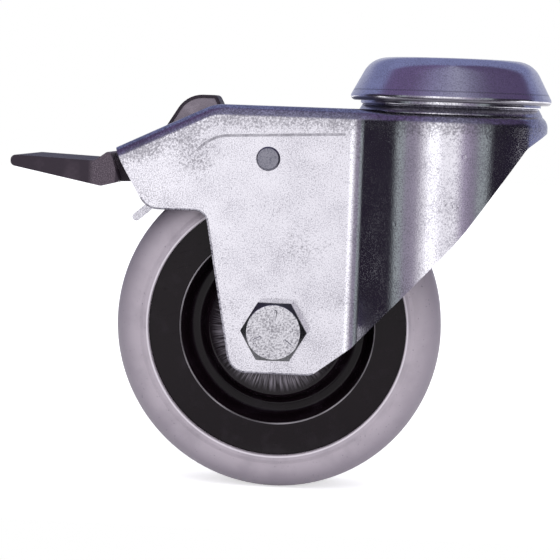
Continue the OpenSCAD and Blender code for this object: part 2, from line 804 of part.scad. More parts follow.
// Side view of the pedal: rounded tip, thin blade, and a shoulder by the fork's tail
module pedal_side() {
    tip = pin + [-pedal_len, -0.8];
    shoulder = on_tail(tail_straight + 0.6, 0);
    polygon(rounded([
        tip + [0, pedal_tip_t / 2],
        tip + [0, -pedal_tip_t / 2],
        [shoulder[0] - 2.4, shoulder[1] - 8.6],
        [shoulder[0] + 1.8, shoulder[1] - 7.4],
        shoulder + [-0.6, -0.4],
        shoulder + [-4, -2.9]
    ], [pedal_tip_t * 0.48, pedal_tip_t * 0.48, 1.8, 0.6, 0.7, 2]));
}

// Side view of the neck that runs under the tail to the pin
module neck_side() {
    back = tail_straight;
    top = -sheet_t - 0.45;
    polygon([
        on_tail(back - 0.2, top),
        on_tail(back + 2.2, top),
        on_tail(back + 3.4, top - 4.6),
        on_tail(back - 0.4, -sheet_t - pin_drop - 1.2),
        pin + [0, -pin_d / 2 - 1.4],
        pin + [1, 0],
        on_tail(back - pin_in, top)
    ]);
    translate(pin) circle(pin_d / 2 + 1.4);
}

// Side view of the D-shaped release tab
module tab_side() {
    crown = web_z + tab_h;
    polygon(rounded([
        pin + [-2.5, 0],
        pin + [-1.9, 6.9],
        [pin[0] + 3.4, crown],
        [tab_front_x - 1.4, crown],
        [tab_front_x, crown - 2.7],
        [tab_front_x - 2.6, pin[1] + 4],
        pin + [3, -1]
    ], [0, 1.5, 6.8, 1.2, 0.5, 3, 0]));
}

module brake_lever() {
    lever_w = 2 * lever_half_w;
    color("#2b2628") difference() {
        union() {
            across(2 * pedal_half_w) pedal_side();
            across(lever_w) neck_side();
            across(2 * tab_half_w) tab_side();
            difference() {
                across(lever_w) translate(cam) circle(cam_r);
                cube([4 * castor_h, 2 * slot_half_w + 1, 4 * castor_h], center = true);
                across(2 * lever_w) translate(shoe_centre) circle(shoe_mid_r + plate_t / 2 + 0.5);
            }
        }
        translate([pin[0], 0, pin[1]]) rotate([90, 0, 0])
            cylinder(h = 4 * lever_w, r = pin_d / 2 + run_gap, center = true);
    }
}

head_cup();
kingpin();
lower_race();
lock_ring();
upper_balls();
lower_balls();
fork();
dust_ring();
axle_bolt();
axle_nut();
nut_insert();
axle_sleeve();
pivot_rivet_near();
pivot_rivet_far();
wheel_centre();
tyre();
brake_plate();
lever_pin();
return_leaf();
leaf_rivet();
brake_lever();
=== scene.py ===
"""Looks of the braked castor: finishes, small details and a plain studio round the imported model.

Everything is in metres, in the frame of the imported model: the origin is the centre of the bolt hole
on the top face, Z is the swivel axis, and X points to the front of the fork.
"""

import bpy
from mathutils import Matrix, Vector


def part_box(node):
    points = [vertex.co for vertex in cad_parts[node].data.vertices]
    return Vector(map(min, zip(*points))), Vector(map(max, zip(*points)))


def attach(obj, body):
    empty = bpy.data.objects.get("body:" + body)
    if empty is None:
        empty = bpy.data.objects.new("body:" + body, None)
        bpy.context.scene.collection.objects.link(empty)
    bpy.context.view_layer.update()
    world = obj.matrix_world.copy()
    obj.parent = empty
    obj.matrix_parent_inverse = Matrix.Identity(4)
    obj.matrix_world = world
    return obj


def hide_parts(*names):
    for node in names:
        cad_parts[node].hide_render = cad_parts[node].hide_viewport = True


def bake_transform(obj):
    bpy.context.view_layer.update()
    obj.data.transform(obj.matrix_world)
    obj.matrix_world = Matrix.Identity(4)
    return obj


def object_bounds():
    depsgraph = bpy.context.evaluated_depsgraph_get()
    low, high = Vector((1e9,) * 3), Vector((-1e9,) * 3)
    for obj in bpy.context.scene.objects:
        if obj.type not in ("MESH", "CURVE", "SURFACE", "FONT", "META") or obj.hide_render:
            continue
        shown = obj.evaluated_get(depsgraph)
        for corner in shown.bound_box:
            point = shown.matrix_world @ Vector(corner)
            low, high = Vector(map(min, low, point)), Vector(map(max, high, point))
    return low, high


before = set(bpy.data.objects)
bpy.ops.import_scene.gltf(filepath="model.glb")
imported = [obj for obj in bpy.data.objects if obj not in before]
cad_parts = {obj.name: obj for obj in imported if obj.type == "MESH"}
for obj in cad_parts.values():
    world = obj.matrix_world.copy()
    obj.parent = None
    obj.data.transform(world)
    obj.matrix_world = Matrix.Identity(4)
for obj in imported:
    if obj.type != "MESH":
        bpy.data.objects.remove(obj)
CAD_BOX = [list(corner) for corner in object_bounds()]

import logging
import math
from collections import Counter
from collections.abc import Callable
from dataclasses import dataclass
from enum import Enum

import bmesh
import bpy
from mathutils import Matrix, Vector

logging.basicConfig(level=logging.INFO, format="%(message)s")
LOG = logging.getLogger("castor")

MM = 0.001
SAME_POINT = 0.002 * MM
SAME_PLANE = 0.01 * MM
DIGITS = 6
SOFT_ANGLE = 24.0
Colour = tuple[float, float, float]
Spot = tuple[float, float]
Span = tuple[float, float]
Socket = bpy.types.NodeSocket
Stops = tuple[tuple[float, Colour], ...]


class Side(Enum):
    """The two sides of the castor, as the sign of Y."""

    NEAR = -1
    FAR = 1


class Shader:
    """A material with one Principled shader, built from procedural nodes in object space."""

    def __init__(self, name: str) -> None:
        """Starts an empty material.

        Args:
            name: The material's name.
        """
        self.material = bpy.data.materials.new(name)
        self.material.use_nodes = True
        self.tree = self.material.node_tree
        self.body = self.tree.nodes["Principled BSDF"]
        self.place = self.tree.nodes.new("ShaderNodeTexCoord").outputs["Object"]

    def set(self, **values: float | Colour) -> None:
        """Sets constants on the shader's own sockets.

        Args:
            values: Socket names with underscores for spaces, and their values.
        """
        for name, value in values.items():
            socket = self.body.inputs[name.replace("_", " ")]
            socket.default_value = (*value, 1.0) if isinstance(value, tuple) else value

    def link(self, source: Socket, name: str) -> None:
        """Links a socket to the shader's input of that name."""
        self.tree.links.new(source, self.body.inputs[name])

    def feed(self, socket: Socket, value: Socket | float | Colour) -> None:
        """Gives an input a constant or a link.

        Args:
            socket: The input.
            value: A constant, or an output to link.
        """
        if isinstance(value, bpy.types.NodeSocket):
            self.tree.links.new(value, socket)
        elif isinstance(value, tuple) and len(value) == 3 and socket.type == "RGBA":
            socket.default_value = (*value, 1.0)
        else:
            socket.default_value = value

    def math(self, operation: str, *values: Socket | float) -> Socket:
        """Adds a Math node.

        Args:
            operation: The node's operation.
            values: Its inputs, in order.

        Returns:
            The node's output.
        """
        node = self.tree.nodes.new("ShaderNodeMath")
        node.operation = operation
        for socket, value in zip(node.inputs, values):
            self.feed(socket, value)
        return node.outputs[0]

    def split(self, vector: Socket) -> tuple[Socket, Socket, Socket]:
        """Takes a vector apart.

        Args:
            vector: The vector.

        Returns:
            Its X, Y and Z.
        """
        node = self.tree.nodes.new("ShaderNodeSeparateXYZ")
        self.tree.links.new(vector, node.inputs[0])
        return node.outputs[0], node.outputs[1], node.outputs[2]

    def join(self, x: Socket | float, y: Socket | float, z: Socket | float) -> Socket:
        """Puts a vector together.

        Args:
            x: Its X.
            y: Its Y.
            z: Its Z.

        Returns:
            The vector.
        """
        node = self.tree.nodes.new("ShaderNodeCombineXYZ")
        for socket, value in zip(node.inputs, (x, y, z)):
            self.feed(socket, value)
        return node.outputs[0]

    def noise(self, size: float, detail: float = 3.0, place: Socket | None = None) -> Socket:
        """Adds a cloudy noise.

        Args:
            size: Size of one cloud, in metres, or in the units of place.
            detail: How many finer layers it has.
            place: Where it is looked up, if not in object space.

        Returns:
            The noise, from 0 to 1.
        """
        node = self.tree.nodes.new("ShaderNodeTexNoise")
        node.inputs["Scale"].default_value = 1.0 / size
        node.inputs["Detail"].default_value = detail
        self.tree.links.new(place or self.place, node.inputs["Vector"])
        return node.outputs["Fac"]

    def cells(self, size: float) -> Socket:
        """Adds scattered points.

        Args:
            size: How far apart they are, in metres.

        Returns:
            The distance to the nearest point, as a share of size.
        """
        node = self.tree.nodes.new("ShaderNodeTexVoronoi")
        node.inputs["Scale"].default_value = 1.0 / size
        self.tree.links.new(self.place, node.inputs["Vector"])
        return node.outputs["Distance"]

    def band(self, value: Socket, low: float, high: float) -> Socket:
        """Makes a smooth step.

        Args:
            value: What it runs with.
            low: It is 0 below this.
            high: It is 1 above this.

        Returns:
            The step.
        """
        node = self.tree.nodes.new("ShaderNodeMapRange")
        node.interpolation_type = "SMOOTHSTEP"
        self.tree.links.new(value, node.inputs["Value"])
        node.inputs["From Min"].default_value = low
        node.inputs["From Max"].default_value = high
        return node.outputs["Result"]

    def fade(self, value: Socket, low: float, high: float) -> Socket:
        """Returns 1 below low and 0 above high, with a smooth step between."""
        return self.math("SUBTRACT", 1.0, self.band(value, low, high))

    def scaled(self, value: Socket, low: float, high: float) -> Socket:
        """Returns a 0 to 1 value stretched to run from low to high."""
        return self.math("MULTIPLY_ADD", value, high - low, low)

    def times(self, *values: Socket | float) -> Socket:
        """Multiplies values.

        Args:
            values: Two or more of them.

        Returns:
            Their product.
        """
        product = values[0]
        for value in values[1:]:
            product = self.math("MULTIPLY", product, value)
        return product

    def off(self, value: Socket, middle: Socket | float) -> Socket:
        """Returns how far a value lies from a middle one, to either side."""
        return self.math("ABSOLUTE", self.math("SUBTRACT", value, middle))

    def away(self, a: Socket, b: Socket, spot: Spot) -> Socket:
        """Measures from a spot in a plane.

        Args:
            a: The first coordinate.
            b: The second one.
            spot: Both coordinates of the spot.

        Returns:
            The distance.
        """
        da = self.math("SUBTRACT", a, spot[0])
        db = self.math("SUBTRACT", b, spot[1])
        return self.math("SQRT", self.math("ADD", self.times(da, da), self.times(db, db)))

    def mix(self, factor: Socket, a: Socket | Colour, b: Socket | Colour) -> Socket:
        """Mixes two colours.

        Args:
            factor: The share of b, from 0 to 1.
            a: The first colour.
            b: The second one.

        Returns:
            The mixed colour.
        """
        node = self.tree.nodes.new("ShaderNodeMix")
        node.data_type = "RGBA"
        self.tree.links.new(factor, node.inputs["Factor"])
        self.feed(node.inputs[6], a)
        self.feed(node.inputs[7], b)
        return node.outputs[2]

    def bump(
        self, height: Socket, depth: float, strength: float, below: Socket | None = None,
    ) -> Socket:
        """Adds a bump.

        Args:
            height: Height from 0 to 1.
            depth: Metres from 0 to 1.
            strength: How much of it shows.
            below: The normal of a coarser bump under this one.

        Returns:
            The bumped normal.
        """
        node = self.tree.nodes.new("ShaderNodeBump")
        node.inputs["Distance"].default_value = depth
        node.inputs["Strength"].default_value = strength
        self.tree.links.new(height, node.inputs["Height"])
        if below is not None:
            self.tree.links.new(below, node.inputs["Normal"])
        return node.outputs["Normal"]


@dataclass(frozen=True)
class Zinc:
    """Bright zinc plate: a pale metal with sandy grain, clouds, fine scratches and pits."""

    name: str
    pale: Colour = (0.86, 0.845, 0.9)
    dull: Colour = (0.56, 0.545, 0.6)
    stain_and_shade_colour: Colour = (0.2, 0.19, 0.22)
    smooth: float = 0.08
    rough: float = 0.22
    grain: float = 0.3 * MM
    grain_depth: float = 0.022 * MM
    cloud: float = 6 * MM
    pits: float = 0.0
    cloud_share: float = 0.35
    patchy: Span = (0.56, 0.88)
    stain_and_shade_rough: float = 0.15
    scratch: float = 0.3 * MM
    scratch_depth: float = 0.01 * MM
    scratched: Span = (0.7, 0.72)
    pit_edge: Span = (0.04, 0.09)
    pit_depth: float = 0.03 * MM

    def make(self, stain_and_shade: Callable[[Shader], Socket] | None = None) -> bpy.types.Material:
        """Makes the finish.

        Args:
            stain_and_shade: Gives how dark each place is painted, from 0 to 1, by stains and by
                painted shade, if the finish has either.

        Returns:
            The finished material.
        """
        shader = Shader(self.name)
        sand = shader.noise(self.grain)
        cloud = shader.noise(self.cloud, detail=5.0)
        patch = shader.band(
            shader.math("MULTIPLY_ADD", cloud, self.cloud_share, sand), *self.patchy)
        colour = shader.mix(patch, self.pale, self.dull)
        rough = shader.scaled(patch, self.smooth, self.rough)
        # Stains and painted shade darken the colour here and make it rougher.
        if stain_and_shade is not None:
            dark = stain_and_shade(shader)
            colour = shader.mix(dark, colour, self.stain_and_shade_colour)
            rough = shader.math("MULTIPLY_ADD", dark, self.stain_and_shade_rough, rough)
        shader.link(colour, "Base Color")
        shader.link(rough, "Roughness")
        normal = shader.bump(sand, self.grain_depth, strength=0.8)
        scratch = shader.noise(self.scratch, detail=2.0, place=scratch_place(shader))
        scratch = shader.band(scratch, *self.scratched)
        normal = shader.bump(scratch, self.scratch_depth, strength=0.25, below=normal)
        if self.pits:
            pit = shader.band(shader.cells(self.pits), *self.pit_edge)
            normal = shader.bump(pit, self.pit_depth, strength=0.6, below=normal)
        shader.link(normal, "Normal")
        shader.set(Metallic=1.0)
        return shader.material


def scratch_place(shader: Shader, slant: float = 0.35, stretch: float = 0.03) -> Socket:
    """Returns a place stretched along a slant, so that noise turns to fine scratches.

    Args:
        shader: The material's shader.
        slant: Rise of the scratches over X.
        stretch: How much finer the noise is across them than along them.

    Returns:
        The place to look noise up at.
    """
    x, y, z = shader.split(shader.place)
    along = shader.math("MULTIPLY_ADD", z, slant, x)
    across = shader.math("MULTIPLY_ADD", x, -slant, z)
    return shader.join(shader.times(along, stretch), y, across)


@dataclass(frozen=True)
class Turned:
    """Metal finished on a lathe, with fine rings about an axis."""

    name: str
    colour: Colour
    roughness: float = 0.25
    centre: Spot = (0.0, 0.0)
    along_y: bool = False
    ring: float = 0.25 * MM
    ring_depth: float = 0.01 * MM
    smut: float = 3 * MM
    smut_share: float = 0.7
    smutty: Span = (0.45, 0.75)
    unevenness: Span = (0.7, 1.4)

    def make(self) -> bpy.types.Material:
        """Makes the finish.

        Returns:
            The finished material.
        """
        shader = Shader(self.name)
        x, y, z = shader.split(shader.place)
        across, along = (z, y) if self.along_y else (y, z)
        radius = shader.away(x, across, self.centre)
        rings = shader.noise(self.ring, place=shader.join(radius, along, 0.0))
        smut = shader.noise(self.smut, detail=4.0)
        dark = tuple(self.smut_share * part for part in self.colour)
        colour = shader.mix(shader.band(smut, *self.smutty), self.colour, dark)
        shader.link(colour, "Base Color")
        low, high = self.unevenness
        rough = shader.scaled(smut, self.roughness * low, self.roughness * high)
        shader.link(rough, "Roughness")
        shader.link(shader.bump(rings, self.ring_depth, strength=0.5), "Normal")
        shader.set(Metallic=1.0)
        return shader.material


@dataclass(frozen=True)
class Moulded:
    """Moulded plastic: a plain colour with a fine grain and faint wear."""

    name: str
    colour: Colour
    worn: Colour
    roughness: float = 0.5
    dusty: Colour = (0.17, 0.135, 0.165)
    dusty_from: Span = (0.4, 0.7)
    wear: float = 4 * MM
    worn_from: Span = (0.5, 0.8)
    worn_rough: float = 1.2
    grain: float = 0.25 * MM
    depth: float = 0.03 * MM

    def make(self, paler_share: Callable[[Shader], Socket] | None = None) -> bpy.types.Material:
        """Makes the finish.

        Args:
            paler_share: Gives how much each place is made paler, from 0 to 1, if any is.

        Returns:
            The finished material.
        """
        shader = Shader(self.name)
        grain = shader.noise(self.grain)
        wear = shader.band(shader.noise(self.wear, detail=6.0), *self.worn_from)
        colour = shader.mix(wear, self.colour, self.worn)
        if paler_share is not None:
            dust = shader.mix(shader.band(grain, *self.dusty_from), self.worn, self.dusty)
            colour = shader.mix(paler_share(shader), colour, dust)
        shader.link(colour, "Base Color")
        rough = shader.scaled(wear, self.roughness, self.roughness * self.worn_rough)
        shader.link(rough, "Roughness")
        shader.link(shader.bump(grain, self.depth, strength=0.8), "Normal")
        shader.set(Specular_IOR_Level=0.35)
        return shader.material


@dataclass(frozen=True)
class WheelFinish:
    """A finish of the wheel, laid out round the axle."""

    axle: Spot

    def polar(self, shader: Shader) -> tuple[Socket, Socket, Socket]:
        """Gives each place on the wheel by radius and angle.

        Args:
            shader: The material's shader.

        Returns:
            The radius from the axle, the angle round it, and the place along it.
        """
        x, y, z = shader.split(shader.place)
        dx = shader.math("SUBTRACT", x, self.axle[0])
        dz = shader.math("SUBTRACT", z, self.axle[1])
        return shader.away(x, z, self.axle), shader.math("ARCTAN2", dz, dx), y


@dataclass(frozen=True)
class TyreRubber(WheelFinish):
    """The tyre's grey, with specks, a painted highlight on the bead and painted shade on the rounded
    shoulder.
    """

    wheel_r: float
    shoulder_w: float = 6 * MM
    bead_r: float = 29.95 * MM
    bead_w: Span = (0.1 * MM, 0.25 * MM)
    cloud: float = 6 * MM
    cloudy: Span = (0.4, 0.75)
    speck: float = 0.5 * MM
    speckled: Span = (0.66, 0.78)
    ring: float = 0.35 * MM
    ring_depth: float = 0.015 * MM
    grain: float = 0.3 * MM
    grain_depth: float = 0.02 * MM
    roughness: Span = (0.42, 0.62)
    grey: Colour = (0.47, 0.415, 0.465)
    clouded: Colour = (0.38, 0.335, 0.38)
    shaded: Colour = (0.27, 0.235, 0.28)
    specked: Colour = (0.19, 0.175, 0.21)
    # Colour of the painted highlight along the bead.
    pale: Colour = (0.74, 0.69, 0.74)

    def make(self) -> bpy.types.Material:
        """Makes the finish.

        Returns:
            The finished material.
        """
        shader = Shader("tyre_grey")
        radius, _, y = self.polar(shader)
        cloud = shader.noise(self.cloud, detail=5.0)
        body = shader.mix(shader.band(cloud, *self.cloudy), self.grey, self.clouded)
        # Painted shade: the grey darkens towards the rounded shoulder.
        shoulder = shader.band(radius, self.wheel_r - self.shoulder_w, self.wheel_r)
        body = shader.mix(shoulder, body, self.shaded)
        speck = shader.band(shader.noise(self.speck, detail=2.0), *self.speckled)
        body = shader.mix(speck, body, self.specked)
        # Painted highlight: a thin pale ring along the bead.
        bead = shader.fade(shader.off(radius, self.bead_r), *self.bead_w)
        shader.link(shader.mix(bead, body, self.pale), "Base Color")
        shader.link(shader.scaled(cloud, *self.roughness), "Roughness")
        rings = shader.noise(self.ring, detail=2.0, place=shader.join(radius, y, 0.0))
        normal = shader.bump(rings, self.ring_depth, strength=0.4)
        grain = shader.noise(self.grain)
        normal = shader.bump(grain, self.grain_depth, strength=0.4, below=normal)
        shader.link(normal, "Normal")
        shader.set(Specular_IOR_Level=0.45)
        return shader.material


@dataclass(frozen=True)
class HubPlastic(WheelFinish):
    """The wheel centre's glossy black, with a finely rayed disc under a painted sheen, a painted
    highlight on its stepped edge, and light scratches.
    """

    disc_r: float = 16 * MM
    sheen_fade_in: Span = (4 * MM, 0.5 * MM)
    edge_r: float = 22.4 * MM
    edge_w: Span = (0.08 * MM, 0.2 * MM)
    edge_highlight_noise: float = 16 * MM
    edge_highlight_patchy: Span = (0.35, 0.65)
    edge_highlight_span: Span = (0.25, 1.0)
    ray: float = 0.022
    ray_run: float = 4.0
    ray_depth: float = 0.09 * MM
    ray_sheen: Span = (0.35, 0.7)
    ring: float = 0.3 * MM
    ring_run: float = 0.4 * MM
    ring_depth: float = 0.006 * MM
    scratch: float = 0.2 * MM
    scratch_depth: float = 0.02 * MM
    scratched: Span = (0.72, 0.74)
    dust: float = 5 * MM
    dusty_from: Span = (0.5, 0.85)
    roughness: Span = (0.14, 0.26)
    black: Colour = (0.006, 0.003, 0.005)
    dusty: Colour = (0.016, 0.011, 0.016)
    # Colour of the painted sheen on the disc's rays.
    disc_sheen: Colour = (0.3, 0.27, 0.31)
    # Colour of the painted highlight along the stepped edge.
    pale: Colour = (0.45, 0.42, 0.45)

    def make(self) -> bpy.types.Material:
        """Makes the finish.

        Returns:
            The finished material.
        """
        shader = Shader("hub_black")
        radius, angle, y = self.polar(shader)
        spoke = shader.join(angle, shader.times(radius, self.ray_run), 0.0)
        rays = shader.noise(self.ray, place=spoke)
        on_disc = shader.fade(radius, self.disc_r, self.disc_r + MM)
        normal = shader.bump(shader.times(rays, on_disc), self.ray_depth, strength=0.8)
        groove = shader.join(radius, shader.times(angle, self.ring_run), y)
        rings = shader.noise(self.ring, detail=2.0, place=groove)
        normal = shader.bump(rings, self.ring_depth, strength=0.5, below=normal)
        scratch = shader.noise(self.scratch, detail=1.0, place=scratch_place(shader))
        scratch = shader.band(scratch, *self.scratched)
        normal = shader.bump(scratch, self.scratch_depth, strength=0.5, below=normal)
        shader.link(normal, "Normal")
        dust = shader.band(shader.noise(self.dust, detail=6.0), *self.dusty_from)
        gloss = shader.mix(dust, self.black, self.dusty)
        # Painted sheen: the rays are painted paler inside the disc's rim.
        begin, end = self.sheen_fade_in
        middle = shader.fade(radius, self.disc_r - begin, self.disc_r - end)
        disc_sheen = shader.times(shader.band(rays, *self.ray_sheen), middle)
        gloss = shader.mix(disc_sheen, gloss, self.disc_sheen)
        # Painted highlight: a thin pale ring on the rounded step at the disc's edge, broken up by
        # noise.
        edge = shader.fade(shader.off(radius, self.edge_r), *self.edge_w)
        wear = shader.band(shader.noise(self.edge_highlight_noise, detail=2.0), *self.edge_highlight_patchy)
        edge = shader.times(edge, shader.scaled(wear, *self.edge_highlight_span))
        shader.link(shader.mix(edge, gloss, self.pale), "Base Color")
        shader.link(shader.scaled(dust, *self.roughness), "Roughness")
        shader.set(Specular_IOR_Level=0.2)
        return shader.material


def soften(mesh: bpy.types.Mesh, angle: float) -> None:
    """Shades a mesh smooth across edges flatter than an angle, with its points left as they are.

    Args:
        mesh: The mesh.
        angle: Edges sharper than this many degrees stay sharp.
    """
    corners: dict[tuple[int, ...], list[int]] = {}
    for loop in mesh.loops:
        point = mesh.vertices[loop.vertex_index].co
        key = tuple(round(part / SAME_POINT) for part in point)
        corners.setdefault(key, []).append(loop.index)
    face_of = [0] * len(mesh.loops)
    for face in mesh.polygons:
        for index in face.loop_indices:
            face_of[index] = face.index
    facing = [face.normal.copy() for face in mesh.polygons]
    weight = [face.area for face in mesh.polygons]
    least = math.cos(math.radians(angle))
    normals = [Vector()] * len(mesh.loops)
    for group in corners.values():
        faces = [face_of[index] for index in group]
        for index, face in zip(group, faces):
            total = Vector()
            for other in faces:
                if facing[face].dot(facing[other]) >= least:
                    total += facing[other] * weight[other]
            normals[index] = total.normalized() if total.length > 0 else facing[face]
    mesh.shade_smooth()
    mesh.normals_split_custom_set(normals)


def dress(node: str, material: bpy.types.Material, angle: float = SOFT_ANGLE) -> None:
    """Gives a CAD node its material and smooth shading up to an angle.

    Args:
        node: The node's name.
        material: The material.
        angle: Edges sharper than this many degrees stay sharp. 0 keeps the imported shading.
    """
    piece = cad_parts[node]
    for slot in piece.material_slots:
        slot.material = material
    if angle:
        soften(piece.data, angle)
    LOG.info("dressed %s in %s", node, material.name)


def add_object(name: str, data: bpy.types.ID) -> bpy.types.Object:
    """Puts data into the scene as an object.

    Args:
        name: The object's name.
        data: Its mesh, lamp or camera.

    Returns:
        The object.
    """
    made = bpy.data.objects.new(name, data)
    bpy.context.scene.collection.objects.link(made)
    return made


def run_at(points: list[Vector], index: int) -> Vector:
    """Returns the direction in which a line of points runs at one of them."""
    before, after = points[max(index - 1, 0)], points[min(index + 1, len(points) - 1)]
    return (after - before).normalized()


class Detail:
    """A small mesh piece that rides on a body of the castor."""

    ribbon_section: tuple[Spot, ...] = (
        (0.0, -1.0), (0.0, 0.3), (0.35, 1.0), (0.8, 1.0), (1.0, -1.0))

    def __init__(self, name: str, body: str, slot: str, material: bpy.types.Material) -> None:
        """Names the piece and what it belongs to.

        Args:
            name: The piece's name.
            body: The body it moves with.
            slot: The record's material slot; it is not used.
            material: Its material.
        """
        self.name, self.body, self.slot, self.material = name, body, slot, material
        self.mesh = bmesh.new()

    def ribbon(
        self, edge: list[Vector], inside: Callable[[Vector, Vector], Vector],
        width: float, height: float, side: Side,
    ) -> None:
        """Adds a narrow raised strip along an edge of a face that looks to one side.

        Args:
            edge: The edge's points.
            inside: Gives the direction into the face at a point, from the edge's run there.
            width: The strip's width.
            height: How far it stands out of the face, and goes into it.
            side: Which way the face looks.
        """
        out = Vector((0.0, side.value * height, 0.0))
        rings = []
        for index, point in enumerate(edge):
            reach = inside(point, run_at(edge, index)) * width
            rings.append([
                self.mesh.verts.new(point + reach * across + out * up)
                for across, up in self.ribbon_section
            ])
        count = len(self.ribbon_section)
        for first, second in zip(rings, rings[1:]):
            for corner in range(count):
                after = (corner + 1) % count
                self.mesh.faces.new((first[corner], first[after], second[after], second[corner]))
        self.mesh.faces.new(rings[0])
        self.mesh.faces.new(rings[-1])

    def place(self) -> None:
        """Turns the mesh into a flat-shaded object on its body."""
        bmesh.ops.recalc_face_normals(self.mesh, faces=self.mesh.faces)
        data = bpy.data.meshes.new(self.name)
        self.mesh.to_mesh(data)
        self.mesh.free()
        data.materials.append(self.material)
        piece = add_object(self.name, data)
        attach(piece, self.body)
        LOG.info("made %s on %s", self.name, self.body)


@dataclass
class Head:
    """The head: domed cup, kingpin, races and balls."""

    rim_z: float = -9.1 * MM
    rim_fade: float = 0.3 * MM
    seam_z: float = -7.5 * MM
    seam_w: float = 0.1 * MM
    seam_dark: float = 0.45

    def build(self) -> None:
        """Dresses the head's nodes."""
        spun = {"smooth": 0.14, "rough": 0.26, "grain_depth": 0.008 * MM}
        dress("head_cup", Zinc("head_zinc", **spun).make(self.rim_shade_and_seam))
        ring = Zinc("dust_ring_zinc", pale=(0.8, 0.79, 0.84), dull=(0.45, 0.45, 0.5), **spun)
        dress("dust_ring", ring.make())
        dress("kingpin", Turned("kingpin_steel", (0.56, 0.56, 0.58)).make())
        race = Turned("race_steel", (0.3, 0.3, 0.31), roughness=0.4).make()
        dress("lower_race", race)
        dress("lock_ring", race)
        balls = Turned("ball_steel", (0.75, 0.75, 0.77), roughness=0.12).make()
        dress("upper_balls", balls, angle=0.0)
        dress("lower_balls", balls, angle=0.0)

    def rim_shade_and_seam(self, shader: Shader) -> Socket:
        """Finds where the cup is darker: painted shade below its rim, and a thin dark line along the
        seam on its wall.

        Args:
            shader: The cup's shader.

        Returns:
            How dark each place is, from 0 to 1.
        """
        _, _, z = shader.split(shader.place)
        # Painted shade on the cup's lip below the rim.
        rim = shader.fade(z, self.rim_z - self.rim_fade, self.rim_z)
        seam = shader.fade(shader.off(z, self.seam_z), self.seam_w, 2 * self.seam_w)
        return shader.math("MAXIMUM", rim, shader.times(seam, self.seam_dark))


@dataclass
class Wheel:
    """The road wheel: its centre and its tyre."""

    axle: Spot
    radius: float

    def build(self) -> None:
        """Dresses the wheel's nodes."""
        dress("wheel_centre", HubPlastic(self.axle).make())
        dress("tyre", TyreRubber(self.axle, self.radius).make())


